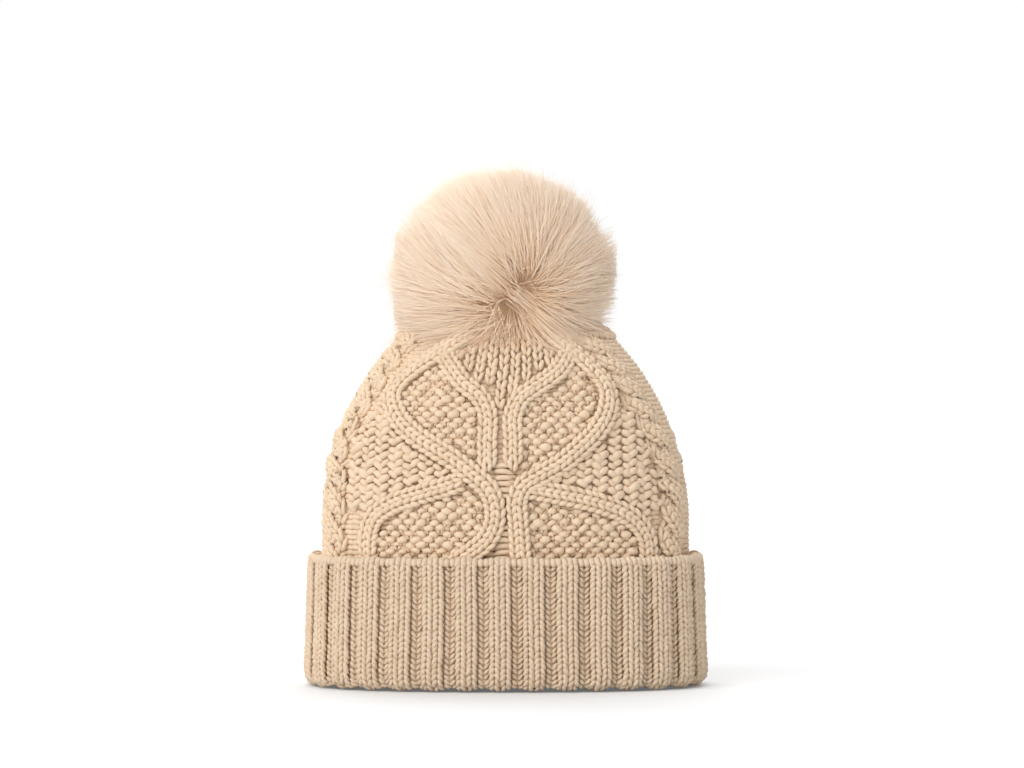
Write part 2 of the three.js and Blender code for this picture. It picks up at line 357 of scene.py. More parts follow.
def beads(heap, surface, f, v, size, lift, tail=0.0, slant=0.0, loose=1.0):
    """Purl bumps: plump beads lying across the columns, each over two short legs if tail is given.
    size: a bead's width, height and thickness; loose: how uneven they are."""
    width, height, thick = size
    count = len(f)
    f = f + rng.normal(0, 0.42 * loose, count) / surface.girth(v)
    v = v + rng.normal(0, 0.36 * loose, count)
    girth = surface.girth(v)[:, None]
    grow = 1 + rng.normal(0, 0.13, (count, 1))
    shape = np.array([0.3, 0.84, 1.0, 0.84, 0.3]) * (1 + rng.normal(0, 0.10, (count, 5)))
    across = np.array([-0.5, -0.32, 0.0, 0.32, 0.5])
    lean = slant + rng.normal(0, 0.25 * loose, (count, 1))
    x = across * width * grow
    ff = f[:, None] + x / girth
    vv = v[:, None] + x * lean - 0.8 * (across * 2) ** 2
    rise = lift + np.array([-0.7, 0.1, 0.35, 0.1, -0.7]) + rng.normal(0, 0.25, (count, 1))
    tones = rng.normal(0.1, TONE_SPREAD, count)
    shape_high, shape_thick = shape * height * grow, shape * thick * grow
    heap.lay(surface, ff, vv, rise, shape_high, shape_thick, sides=8, tones=tones)
    if tail:
        t = np.array([0.0, 0.35, 0.7, 1.0])
        shape = np.array([0.6, 1.0, 0.9, 0.5])
        rise = lift + np.array([-0.4, -0.35, -0.6, -1.2])
        vv = v[:, None] - 0.25 * height - tail * t
        for side in (-1, 1):
            ff = f[:, None] + side * (0.33 - 0.2 * t) * width / girth
            # The tails are painted darker: painted shade under the beads.
            tones = rng.normal(-0.5, 0.3, count)
            heap.lay(
                surface, ff, vv, rise, shape * height * 0.56, shape * thick * 0.6, sides=6, tones=tones
            )


def bars(heap, surface, f, v, width, thick, lift):
    """Purl bars of a ladder: thin yarns that arch over from one side to the other."""
    across = np.linspace(-0.5, 0.5, 6)
    count = len(f)
    arch = (2 * across) ** 2
    x = across * width
    ff = f[:, None] + x / surface.girth(v)[:, None]
    vv = v[:, None] + x * rng.normal(0, 0.08, (count, 1)) - 0.9 * arch
    rise = np.broadcast_to(lift, count)[:, None] + 0.5 - 1.3 * arch + rng.normal(0, 0.12, (count, 1))
    shape = np.array([0.7, 0.95, 1.0, 1.0, 0.95, 0.7]) * thick
    # The bars are painted a little darker on average: painted shade in the recesses they lie in.
    heap.lay(surface, ff, vv, rise, shape, shape, tones=rng.normal(-0.3, 0.3, count))


# ---- materials


def material(name, colour, rough, sheen=0.0, sheen_rough=0.5, sheen_tint=None, metal=0.0):
    """A Principled material, with its node tree and shader."""
    made = bpy.data.materials.new(name)
    made.use_nodes = True
    tree = made.node_tree
    shader = tree.nodes["Principled BSDF"]
    values = {"Base Color": (*colour, 1), "Roughness": rough, "Metallic": metal}
    values |= {"Sheen Weight": sheen, "Sheen Roughness": sheen_rough}
    if sheen_tint:
        values["Sheen Tint"] = (*sheen_tint, 1)
    for key, value in values.items():
        shader.inputs[key].default_value = value
    return made, tree, shader


def node(tree, kind, inputs=None, **settings):
    """A node with its settings, and its inputs linked or set."""
    made = tree.nodes.new(kind)
    for key, value in settings.items():
        setattr(made, key, value)
    for key, value in (inputs or {}).items():
        if isinstance(value, bpy.types.NodeSocket):
            tree.links.new(value, made.inputs[key])
        else:
            made.inputs[key].default_value = value
    return made


def ramp(tree, factor, stops):
    made = node(tree, "ShaderNodeValToRGB", {"Fac": factor})
    elements = made.color_ramp.elements
    while len(elements) < len(stops):
        elements.new(0.5)
    for element, (position, colour) in zip(elements, stops):
        element.position = position
        element.color = (*colour, 1)
    return made.outputs["Color"]


def painted(tree, shader, factor, stops):
    tree.links.new(ramp(tree, factor, stops), shader.inputs["Base Color"])


def object_place(tree):
    return node(tree, "ShaderNodeTexCoord").outputs["Object"]


def noise(tree, scale, detail, **more):
    inputs = {"Vector": object_place(tree), "Scale": scale, "Detail": detail, **more}
    return node(tree, "ShaderNodeTexNoise", inputs).outputs["Fac"]


def math_node(tree, operation, *values):
    return node(tree, "ShaderNodeMath", dict(enumerate(values)), operation=operation).outputs[0]


def stitch_tone(tree):
    return node(tree, "ShaderNodeAttribute", attribute_name="tone").outputs["Fac"]


def bumped(tree, shader, height, strength, distance):
    bump = node(tree, "ShaderNodeBump", {"Height": height, "Strength": strength, "Distance": distance})
    tree.links.new(bump.outputs["Normal"], shader.inputs["Normal"])


def fibrous(name, dark, light, rough=0.85, fibre=0.35, mottle=120.0, sheen=0.25, grain=1700.0):
    """Soft yarn or cloth: tone per stitch, slow mottling and fine fibres in the bump. Low stitch tones carry
    painted shade on the parts that lie deep.
    """
    made, tree, shader = material(name, light, rough, sheen, 0.6, light)
    patch = noise(tree, mottle, 3.0)
    hair = noise(tree, grain, 4.0, Roughness=0.7, Distortion=1.2)
    mixed = math_node(tree, "MULTIPLY_ADD", stitch_tone(tree), 0.09, 0.12)
    mixed = math_node(tree, "MULTIPLY_ADD", patch, 0.5, mixed)
    mixed = math_node(tree, "MULTIPLY_ADD", hair, 0.45, mixed)
    painted(tree, shader, mixed, [(0.25, dark), (0.62, light)])
    bumped(tree, shader, hair, fibre, 0.0005)
    return made


YARN_LIGHT, YARN_DARK = (0.80, 0.625, 0.45), (0.64, 0.46, 0.30)
yarn = fibrous("cable_yarn", YARN_DARK, YARN_LIGHT)
ribbing = fibrous("rib_yarn", (0.58, 0.42, 0.275), (0.735, 0.58, 0.425))
# A darker yarn for the wall under the stitches: painted shade in the gaps between them.
painted_shade_yarn = fibrous("shaded_yarn", (0.60, 0.425, 0.275), (0.75, 0.57, 0.395), sheen=0.1)
fleece_cloth = fibrous(
    "fleece_pile", (0.66, 0.58, 0.48), (0.82, 0.75, 0.66), fibre=0.9, grain=900.0, sheen=0.5
)

# ---- the hat's own lines

CUFF_HEIGHT, CUFF_RIM, CUFF_TOP, CUFF_DEPTH, SQUARE = 75.0, 115.6, 113.0, 74.0, 2.4
CROWN_FOOT, CROWN_WIDTH, SHOULDER, RISE, LEAN = 74.4, 105.0, 96.0, 130.4, 1.8
SIDE_TOP, FOOT_FLAT, TOP_FLAT = 202.0, 0.62, 0.76
TOP_LINE = [(54, 204.8), (45, 208.2), (30, 210.6), (18, 208.8), (11, 206.6), (6.0, 205.7)]


def crown_surface(inward=0.0):
    """The crown's outside, up its sides and in over its top to the hole."""
    z = np.linspace(CROWN_FOOT - 4, SIDE_TOP, 130)
    wide = CROWN_WIDTH * np.sqrt(1 - np.maximum(0, (z - SHOULDER) / RISE) ** LEAN)
    climb = np.clip((z - CROWN_FOOT) / (SIDE_TOP - CROWN_FOOT), 0, 1)
    flat = FOOT_FLAT + (TOP_FLAT - FOOT_FLAT) * climb
    power = SQUARE + (2 - SQUARE) * climb**2
    rim = wide[-1]
    cap = spline([(rim, SIDE_TOP), *TOP_LINE], 60)[1:]
    out = np.clip((cap[:, 0] - 17) / (rim - 17), 0, 1)
    cap_flat = 1 + (TOP_FLAT - 1) * out
    wide, z = joined([wide, cap[:, 0]]), joined([z, cap[:, 1]])
    flat = joined([flat, cap_flat])
    power = joined([power, np.full(len(cap), 2.0)])
    up, over = np.gradient(z), np.gradient(wide)
    size = np.hypot(up, over)
    less = inward * up / size
    return Surface(wide - less, wide * flat - less, power, z + inward * over / size)


crown = crown_surface()
TOP_V = crown.v[-1]
RIM_V = float(crown.v_at(SIDE_TOP))

# ---- cable crown

# Middles of the cables as seen from the front: (x, height) in millimetres.
PATHS = {
    "left_arm": [
        (-76.3, 72), (-76.2, 87.5), (-72.8, 97.6), (-63.2, 104.9), (-48, 110.3), (-34.5, 114.5), (-22.2, 119),
    ],
    "right_arm": [
        (79.4, 72), (78.5, 85.8), (74.3, 93.4), (65.9, 100.1), (53.2, 105.2), (40.5, 108.6), (23.7, 111.9),
        (13, 114),
    ],
    "left_tongue": [
        (-10.1, 125.5), (-10.1, 140.9), (-10.1, 156.3), (-14.3, 165.1), (-22.7, 171.8), (-28.7, 179.4),
        (-33, 186), (-37, 194),
    ],
    "right_tongue": [
        (4.2, 126.5), (4.2, 140.9), (4.2, 155), (8, 163.4), (15.2, 169), (23.7, 174.5), (30.4, 180.3),
        (34.1, 187), (37.5, 194),
    ],
    "left_snake": [
        (-30, 70), (-18.8, 78.5), (-10.4, 85.8), (-6.4, 94.2), (-5.9, 104.3), (-9.2, 113.3), (-17.7, 121.2),
        (-26.1, 128), (-37.9, 135.6), (-49.7, 143.2), (-58.2, 151.6), (-61.5, 158.3), (-62.4, 165.9),
        (-58.2, 172.7), (-49.7, 180.3), (-39.6, 187), (-28.4, 194.3), (-18, 201),
    ],
    "right_snake": [
        (8.6, 70), (7.9, 84.7), (7.1, 95.9), (6.5, 107.2), (9.3, 114.5), (19.4, 121.2), (30.4, 127.4),
        (41.4, 136.4), (49.8, 144.8), (55.7, 155), (57.1, 163.4), (54.9, 171), (49, 178.6), (42.2, 185.3),
        (33.5, 192.1), (23, 200),
    ],
    "left_plait": [
        (-96.3, 71), (-96.4, 90), (-95.8, 104.4), (-94.7, 130), (-87.9, 149.5), (-78.3, 166.2), (-69.3, 180.2),
        (-59.2, 193), (-52, 199),
    ],
    "right_plait": [
        (91.4, 71), (94, 90), (94.6, 103.9), (89, 129.4), (81, 150.6), (71, 167.6), (62.3, 180.3), (55, 188.8),
        (46, 197),
    ],
}
STRANDS = {
    "arm": {"pitch": 5.5, "row": 4.3, "rise": 2.8, "size": (3.0, 3.0)},
    "tongue": {"pitch": 5.2, "row": 4.3, "rise": 3.1, "size": (2.9, 3.0), "blunt": 6.0},
    "snake": {"pitch": 5.6, "row": 4.3, "rise": 3.6, "size": (3.0, 3.1)},
}
ROPE = {"pitch": 5.3, "row": 4.2, "rise": 3.3, "size": (2.9, 3.0)}
HALF_WIDTH = {"arm": 6.6, "snake": 6.6, "tongue": 6.2, "plait": 13.0}

# Outlines of the fields between the cables, as seen from the front.
SEED_FIELDS = [
    PATHS["left_snake"][6:16] + PATHS["left_tongue"][::-1],
    PATHS["right_snake"][4:14] + PATHS["right_tongue"][::-1],
    PATHS["left_arm"] + PATHS["left_snake"][6::-1],
    PATHS["right_arm"] + PATHS["right_snake"][4::-1],
]
COLUMN_FIELDS = [
    [
        (-20, 118), (-48, 108), (-66, 100), (-77, 92), (-86, 104), (-89, 124), (-82, 146), (-70, 160),
        (-62, 158), (-50, 143), (-26, 128),
    ],
    [
        (11, 113), (40, 108), (66, 100), (80, 93), (87, 104), (86, 126), (78, 147), (65, 163), (58, 158),
        (50, 145), (20, 121),
    ],
]
FAN_FIELD = [
    (-3, 157), (-11, 163), (-22.7, 172), (-31, 181), (-35, 200), (36, 200), (32, 181), (23, 173), (10, 166),
]
LADDER_FIELD = [(-6, 70), (-6, 126), (2, 126), (2, 70)]
LADDER_TOP = 128

FACE = 0.25  # one face of the crown reaches this share of the way round to each side
COLUMN_HALF, COLUMN_RISE, COLUMN_SLANT = 1.95, 0.9, 0.62
FAN_WALES, FAN_ROW = range(-4, 5), 5.2
PURL_WALES, PURL_ROW, PURL_OVERLAP = 46, 2.9, 1.22


def plait(heap, line, first, sunk, length=34.0, swing=6.2, lift=1.9):
    """Two ropes of two wales each, twisted round one another, on a soft bed. first: the share of a twist
    that it starts at; sunk: how deep it lies. It lies deeper towards the top."""
    surface = line.surface
    bed = np.linspace(0, line.length, 60)
    f, v = line.beside(bed, 0 * bed)
    # The bed is painted darker: painted shade under the ropes.
    heap.lay(surface, f, v, -2.6, 21.0, 3.2, sides=16, tones=-1.0)
    dense = np.linspace(0, line.length, 500)
    for rope in range(2):
        phase = math.tau * (dense / length + rope / 2 + first)
        f, v = line.beside(dense, swing * np.cos(phase))
        height = np.interp(v, surface.v, surface.z)
        over = lift * np.sin(phase) - sunk - 1.2 * smooth_step((height - 135) / 30)
        path = Line(surface, f, v)
        strand(heap, path, lift=lambda s, path=path, over=over: np.interp(s, path.s, over), **ROPE)


def stagger(step_x, step_z, shift=0.5):
    """Points in rows over one face, as (f, v), every other row moved along by shift of a step."""
    fs, vs = [], []
    for i, level in enumerate(np.arange(2.0, RIM_V, step_z)):
        girth = crown.girth(level)
        count = int(girth * FACE / step_x)
        k = np.arange(-count, count + 1) + (shift if i % 2 else 0.0)
        fs.append(k * step_x / girth)
        vs.append(np.full(len(k), level))
    f, v = joined(fs), joined(vs)
    keep = np.abs(f) <= FACE
    return f[keep], v[keep]


def within(outlines, f, v):
    """Which points (f, v) of the front show inside any of the outlines."""
    spot = crown.at(f, v)
    found = np.zeros(len(f), bool)
    for outline in outlines:
        found |= inside(np.array(outline), spot[:, 0], spot[:, 2])
    return found


def crown_half(cables, plaits, fields, purl, turned):
    """One face of the crown's knitting, into four heaps; the back repeats the front."""
    lines = {name: front_line(crown, points, turned) for name, points in PATHS.items()}
    for name, line in lines.items():
        kind = name.split("_")[1]
        if kind in STRANDS:
            strand(cables, line, **STRANDS[kind])
    plait(plaits, lines["left_plait"], first=0.15, sunk=1.2)
    plait(plaits, lines["right_plait"], first=0.55, sunk=1.8)

    def clear(f, v, margin):
        """Which points keep off every cable by the margin."""
        spot = crown.at(f, v)
        free = np.ones(len(f), bool)
        for name, line in lines.items():
            reach = HALF_WIDTH[name.split("_")[1]] + margin
            for part in np.array_split(np.arange(len(f)), max(len(f) // 400, 1)):
                gap = np.linalg.norm(spot[part, None] - line.spots[None], axis=2).min(1)
                free[part] &= gap > reach
        return free

    # Diamonds of seed stitch.
    f, v = stagger(7.3, 3.25)
    seed = within(SEED_FIELDS, f, v) & clear(f + turned, v, -0.9)
    beads(fields, crown, f[seed] + turned, v[seed], (5.0, 4.0, 4.1), 0.2, tail=2.6)

    # Outer fields: columns of plump slanted drops in pairs, like ears of wheat.
    f, v = stagger(8.9, 4.6, shift=0.0)
    columns = within(COLUMN_FIELDS, f, v)
    for side in (-1, 1):
        over = f + turned + side * COLUMN_HALF / crown.girth(v)
        up = v + COLUMN_RISE * side
        kept = columns & clear(over, up, -0.8)
        slant = COLUMN_SLANT * side
        beads(fields, crown, over[kept], up[kept], (5.4, 4.3, 5.2), 0.5, slant=slant, loose=0.55)

    # Fan of long V stitches under the pom, its columns drawing together upwards.
    for wale in FAN_WALES:
        points = [(-3 + wale * 7.0, 150), (-3 + wale * 6.9, 165), (-1 + wale * 6.5, 182), (wale * 5.6, 199)]
        line = front_line(crown, points, turned)
        rows = np.arange(1.5 + 2.4 * (wale % 2), line.length, FAN_ROW)
        f, v = line.beside(rows, 0 * rows)
        rows = rows[within([FAN_FIELD], f - turned, v) & clear(f, v, 0.4)]
        legs(
            fields, line, [0.0], rows, 0.5, 2.3, FAN_ROW, (2.8, 3.9), lambda s, a: 0.8, jitter=0.1, reach=0.92
        )

    # Ladder of purl bars up the middle.
    levels = np.arange(1.0, crown.v_at(LADDER_TOP), 3.5)
    f, _ = crown.from_front(np.full(len(levels), -1.0), np.interp(levels, crown.v, crown.z))
    gap = clear(f + turned, levels, -1.0)
    bars(purl, crown, f[gap] + turned, levels[gap], 11.0, 3.1, 0.3)

    # Plain purl fills whatever is left, lower under the fields, so that no bare backing shows.
    levels = np.arange(1.0, RIM_V + 1, PURL_ROW)
    f = np.tile((np.arange(PURL_WALES) + 0.5) / PURL_WALES / 2 - FACE, len(levels))
    v = np.repeat(levels, PURL_WALES)
    rest = clear(f + turned, v, -4.2)
    under = within(SEED_FIELDS + COLUMN_FIELDS + [FAN_FIELD, LADDER_FIELD], f, v)
    deep = np.where(under, -2.1, -1.5)
    wide = PURL_OVERLAP * crown.girth(v[rest])[:, None] / (2 * PURL_WALES)
    bars(purl, crown, f[rest] + turned, v[rest], wide, 3.3, deep[rest])


def cap_rings(heap):
    """Rings of V stitches that gather towards the hole in the crown's top."""
    t = np.array([-0.66, -0.36, 0.0, 0.36, 0.66])
    for level in np.arange(RIM_V - 3.0, TOP_V - 1.0, 4.2):
        count = max(int(crown.girth(level) / 5.2), 7)
        at = (np.arange(count) + 0.5) / count
        for side in (-1, 1):
            v = level + t[None, :] * 4.4 + rng.normal(0, 0.15, (count, 1))
            f = at[:, None] + side * (1.35 + 0.9 * t) / np.maximum(crown.girth(v), 20)
            tones = rng.normal(-0.2, TONE_SPREAD, count)
            heap.lay(crown, f, v, LEG_LIFT + 0.9, LEG_SHAPE * 2.6, LEG_SHAPE * 2.9, tones=tones)


for face, turned in (("front", 0.0), ("back", 0.5)):
    knit = {part: Heap() for part in ("cables", "plaits", "fields", "purl")}
    crown_half(*knit.values(), turned)
    for part, heap in knit.items():
        heap.build(f"crown_{part}_{face}", "hat", yarn, "yarn")
cap_knit = Heap()
cap_rings(cap_knit)
cap_knit.build("crown_top_stitches", "hat", yarn, "yarn")

WALL_OUTSIDE, WALL_THICKNESS, WALL_COLUMNS = -3.9, 5.0, 400
inner_wall = crown_surface(WALL_THICKNESS)


def crown_wall():
    """The knitted wall under the stitches: a closed shell whose inside shows the purl side."""
    f = np.arange(WALL_COLUMNS) / WALL_COLUMNS
    rings = [crown.at(f, v, WALL_OUTSIDE) for v in np.linspace(0, TOP_V, 90)]
    # The outer face, under the stitches, is painted darker: painted shade.
    tones = [np.full(WALL_COLUMNS, -1.0) for _ in rings]
    for v in np.linspace(inner_wall.v[-1], 0, 150):
        wave = 0.35 * np.cos(math.tau * v / 4.3) * (0.6 + 0.4 * np.cos(math.tau * f * 100))
        rings.append(inner_wall.at(f, v, wave - 0.3))
        tones.append(np.full(WALL_COLUMNS, 1.0))
    heap = Heap()
    heap.grid(np.array(rings), np.array(tones), closed=True)
    heap.build("crown_wall", "hat", painted_shade_yarn, "yarn", ["cable_crown"])


crown_wall()

# ---- ribbed cuff

RIBS = 32
RIB_SHIFT = -3.0  # the middle rib stands a little left of the centre
RIB_ROW = 3.05
RIM_HEIGHT = 3.3
EDGE_HEIGHT = 72.6
# Up from inside the rim, round its fold, up the outside and over the top edge: (inset, height).
CUFF_SECTION = [
    (9.6, 7.2), (9.3, 5.4), (8.2, 4.0), (6.4, 3.3), (4.8, 3.3), (3.3, 4.0), (2.4, 5.6), (2.0, 8), (1.9, 20),
    (1.9, 50), (1.8, 68), (1.9, 71.2), (2.3, 72.7), (3.2, 73.3), (4.4, 72.8), (4.9, 71),
]


def cuff_oval(inset, z, spacing):
    """The cuff's oval between its two ends' widths, moved in by inset, as a surface up through z."""
    wide = CUFF_RIM + (CUFF_TOP - CUFF_RIM) * np.clip(z / CUFF_HEIGHT, 0, 1) - inset
    deep = CUFF_DEPTH - inset + 0 * z
    return Surface(wide, deep, np.full(len(z), SQUARE), z, spacing)


cuff = cuff_oval(*spline(CUFF_SECTION, 240).T, spacing=0.5)
cuff_girth = cuff.girth(cuff.v[-1] / 2)
rib_pitch = cuff_girth / RIBS


def rib_knit(front, back, valleys):
    """Ribs of two wales each, with a narrower and deeper wale between them."""
    total = cuff.v[-1]
    rows = np.arange(RIB_ROW / 2, total - 0.5, RIB_ROW)
    core = np.linspace(0, total, 70)
    at_rim = np.exp(-(((np.interp(rows, cuff.v, cuff.z) - RIM_HEIGHT) / 3.0) ** 2))
    deep = -1.7 + 1.4 * at_rim
    for k in range(RIBS):
        in_front = abs(((k + RIBS / 2) % RIBS) - RIBS / 2) < RIBS / 4
        heap = front if in_front else back
        drift = 0.25 * np.sin(np.linspace(0, 5, 120) + k) + rng.normal(0, 0.05)
        line = Line(cuff, (RIB_SHIFT + k * rib_pitch + drift) / cuff_girth, np.linspace(0, total, 120))
        legs(
            heap, line, [-3.1, 3.1], rows, 0.5, 2.6, RIB_ROW, (2.6, 2.7),
            lambda s, a: 1.15 - 0.7 * (a / 5.2) ** 2, upright=False, jitter=0.07, reach=1.12,
        )
        f, v = line.beside(core, 0 * core)
        # The core under the rib is painted darker: painted shade.
        heap.lay(cuff, f, v, -0.6, 10.4, 3.0, sides=10, tones=-1.0)
        # The valley wale is painted darker: painted shade in the valleys between the ribs.
        legs(
            valleys, line, [rib_pitch / 2 + 0.35], rows, 0.2, 3.2, RIB_ROW, (2.3, 2.8), lambda s, a: deep,
            jitter=0.07, tone=-0.9, reach=0.85,
        )


def cast_on_edge(heap):
    """A row of plump beads along the cuff's top edge, dipping in the valleys between ribs."""
    per_rib = 6
    count = RIBS * per_rib
    k = np.arange(count) + 0.5
    f = (RIB_SHIFT + k * rib_pitch / per_rib) / cuff_girth
    raised = 0.5 + 0.5 * np.cos(math.tau * (k / per_rib % 1.0))
    v = float(cuff.v_at(EDGE_HEIGHT)) + 0.8 - 0.5 * (1 - raised) + rng.normal(0, 0.12, count)
    t = np.array([-1.0, -0.55, 0.0, 0.55, 1.0])
    vv = v[:, None] + 2.9 * t
    ff = f[:, None] + rng.normal(0, 0.2, (count, 1)) / cuff_girth + 0 * t
    rise = 0.15 + 0.75 * raised[:, None] + np.array([-0.8, 0.2, 0.5, 0.2, -0.8])
    tones = rng.normal(0.5, 0.3, count)
    heap.lay(cuff, ff, vv, rise, LEG_SHAPE * 3.7, LEG_SHAPE * 3.5, sides=8, tones=tones)


knit = {part: Heap() for part in ("ribs_front", "ribs_back", "rib_valleys")}
rib_knit(*knit.values())
cast_on_edge(knit["ribs_front"])
for part, heap in knit.items():
    heap.build(f"cuff_{part}", "hat", ribbing, "ribbing")


def shell_piece(name, look, slot, replaced, insets, heights, columns, rows, ripple, tone=0.0):
    """A closed band between two insets from the cuff's own oval, with a ripple on both faces."""
    low, high = heights
    f = np.arange(columns) / columns
    z = np.linspace(low, high, rows)
    out, inn = (cuff_oval(inset, z, (high - low) / (rows - 1)) for inset in insets)
    rings = [out.at(f, v, ripple(f, v)) for v in out.v]
    rings += [inn.at(f, v, -ripple(f, v)) for v in inn.v[::-1]]
    heap = Heap()
    heap.grid(np.array(rings), tone, closed=True)
    heap.build(name, "hat", look, slot, [replaced])


def band_ripple(f, v):
    rib = np.cos(math.tau * (f * RIBS - RIB_SHIFT / rib_pitch))
    return 0.3 * np.clip(rib * 2.2, -1, 1) - 0.3 + 0.12 * math.cos(math.tau * v / RIB_ROW)


# The cuff's wall behind the ribs is painted darker: painted shade between the ribs.
shell_piece(
    "cuff_wall", painted_shade_yarn, "ribbing", "rib_cuff", (4.0, 5.2), (4.2, 72.0), 512, 50,
    lambda f, v: 0 * f, -1.0,
)
shell_piece(
    "inner_rib_knit", ribbing, "ribbing", "inner_rib_band", (6.4, 10.0), (8.0, 73.4), 540, 90, band_ripple
)

# ---- pom fur

FUR_MIDDLE, FUR_REACH, FUR_ROOT = np.array([-2.0, -1.0, 233.0]), 61.2, 44.0
PUCKER = unit([11.9, -59.0, -14.6])
PUCKER_LEFT = unit(np.cross(PUCKER, [0, 0, 1.0]))
PUCKER_UP = np.cross(PUCKER_LEFT, PUCKER)
cap_rows = crown.v >= RIM_V
CAP_RADIUS = crown.half_width[cap_rows][::-1]
CAP_HEIGHT = crown.z[cap_rows][::-1]
CAP_FLAT = (crown.half_depth / crown.half_width)[cap_rows][::-1]
SIDE_ROWS = crown.v <= RIM_V


def off_the_crown(points, lift):
    """Points inside the crown, moved out through it to lie on it, raised by lift."""
    lift = lift + 2.0
    x, y, z = points[..., 0], points[..., 1], points[..., 2]
    round_about = np.hypot(x, y)
    radius = np.hypot(x, y / np.interp(round_about, CAP_RADIUS, CAP_FLAT))
    top = np.interp(radius, CAP_RADIUS, CAP_HEIGHT) + lift
    over_top = radius <= CAP_RADIUS[-1]
    wide = np.interp(z, crown.z[SIDE_ROWS], crown.half_width[SIDE_ROWS]) + lift
    deep = np.interp(z, crown.z[SIDE_ROWS], crown.half_depth[SIDE_ROWS]) + lift
    share = np.maximum(np.hypot(x / wide, y / deep), 1e-6)
    out = np.where(~over_top & (share < 1), 1 / share, 1.0)
    z = np.where(over_top, np.maximum(z, top), z)
    return np.stack([x * out, y * out, z], -1)


SLIT = unit(PUCKER_UP * 0.80 - PUCKER_LEFT * 0.60)
SLIT_HALF = 0.10
# Where the coat hangs further out over the crown's front: direction, rise, width.
HANGING = [
    (unit([-27.0, -42.0, -38.0]), 0.10, 0.33),
    (unit([29.0, -40.0, -41.0]), 0.13, 0.30),
    (unit([2.0, -50.0, -37.0]), 0.06, 0.20),
]


def from_pucker(way):
    """Angle from the short slit that the fur parts at, and the direction along the ball away from it."""
    along = np.clip(way @ SLIT, -SLIT_HALF, SLIT_HALF)
    spot = unit(PUCKER + along[..., None] * SLIT)
    cosine = np.clip(np.sum(way * spot, -1), -1, 1)
    return np.arccos(cosine), unit(cosine[..., None] * way - spot)


def reach_at(way):
    """How far the fur's surface stands from the middle: a dimple at the slit, shallow swells elsewhere."""
    polar, _ = from_pucker(way)
    x, z = way[..., 0], way[..., 2]
    dimple = 0.09 * np.exp(-((polar / 0.18) ** 2))
    swell = 0.016 * np.sin(5.1 * x + 4.0 * z + 1.0) + 0.012 * np.sin(9.0 * z - 7.0 * x)
    hang = 0.0
    for spot, rise, width in HANGING:
        gap = np.arccos(np.clip(way @ spot, -1, 1))
        hang = hang + rise * np.exp(-((gap / width) ** 2))
    return FUR_REACH * (1 - dimple + swell * np.clip(polar, 0, 1) + hang)


def flow(way):
    """The direction that the hairs lie in, along the ball."""
    _, level = from_pucker(way)
    x, z = way[..., 0], way[..., 2]
    turn = 0.12 * np.sin(3.3 * x + 2.0 * z) + 0.10 * np.sin(8.0 * z + 5.0 * x)
    return level + np.cross(way, level) * turn[..., None]


STATIONS = np.array([0.0, 0.3, 0.55, 0.8, 1.0])
HAIR_TAPER = np.array([1.0, 0.95, 0.8, 0.5, 0.08])
HAIR_SWEEP, HAIR_SPREAD, GUIDES, CLUMPING = 0.86, 0.05, 1500, 0.45
FUR_PIECES, HAIRS, QUICK_HAIRS, QUICK_WIDER = 8, 7500, 4000, 1.35


def sweep(way, size):
    """Directions (N, K, 3) from each root's own along the flow, shorter where the coat ends."""
    polar, _ = from_pucker(way)
    step = size * ((1 - polar / math.pi) ** 0.75)[..., None] / (len(STATIONS) - 1)
    ways = [way]
    for _ in STATIONS[1:]:
        ways.append(unit(ways[-1] + flow(ways[-1]) * step))
    return np.stack(ways, 1)


def combed(count, wild):
    """Hairs (N, K, 3) and their tones: rooted in the undercoat and combed away from the pucker.
    wild: how far the longest stand out."""
    way = unit(rng.normal(size=(count, 3)))
    guide = unit(rng.normal(size=(GUIDES, 3)))
    nearest = joined([np.argmax(part @ guide.T, 1) for part in np.array_split(way, 40)])
    apart = from_pucker(way)[0][:, None]
    # Towards the back the hairs stand up more, so more of their length shows.
    upright = smooth_step((apart - 0.6) / 1.2)
    size = HAIR_SWEEP * (1 + rng.normal(0, 0.12, (count, 1))) * (1 - 0.5 * np.exp(-((apart / 0.3) ** 2)))
    ways = sweep(unit(way + rng.normal(0, HAIR_SPREAD, way.shape)), size)
    guides = sweep(guide, np.full((GUIDES, 1), HAIR_SWEEP))[nearest]
    share = (CLUMPING * STATIONS**1.5)[None, :, None]
    ways = unit(ways * (1 - share) + guides * share)
    outer = reach_at(ways)
    rise = STATIONS[None] ** (0.55 - 0.25 * np.exp(-((apart / 0.35) ** 2)))
    tip = 1 + rng.normal(0, 0.022, (count, 1)) + wild * rng.random((count, 1)) ** 3
    tip = tip + 0.06 * smooth_step((apart - 0.7) / 1.1)
    radius = FUR_ROOT * (1 - rise) + outer * rise * (1 + (tip - 1) * STATIONS[None])
    radius += rng.normal(-0.6, 1.0, (count, 1)) * np.sin(math.pi * STATIONS[None] ** 0.7)
    lines = FUR_MIDDLE + ways * radius[..., None]
    lines += rng.normal(0, 0.3, (count, 1, 3)) * STATIONS[None, :, None]
    # Some hairs run on straight past their middle instead of lying along the ball.
    loose = (0.6 - 0.45 * upright) * rng.random((count, 1)) ** 2
    ahead = unit(lines[:, 2] - lines[:, 1])
    for k in (3, 4):
        gone = np.linalg.norm(lines[:, k] - lines[:, 2], axis=1, keepdims=True)
        lines[:, k] += loose * (lines[:, 2] + ahead * gone - lines[:, k])
    # The tone varies at random by clump, and hairs rooted near the slit are painted darker: painted shade in the
    # crease.
    shade = 0.10 * rng.normal(0, 1, GUIDES)[nearest] - 0.2 * np.exp(-((apart[:, 0] / 0.11) ** 2))
    # Painted light: at the back the roots are painted lighter, against the shade that gathers between the upright
    # hairs.
    tones = shade[:, None] + STATIONS * (0.9 - 0.62 * upright) + 0.64 * upright
    return off_the_crown(lines, (0.8 + 3.0 * rng.random(count))[:, None]), tones


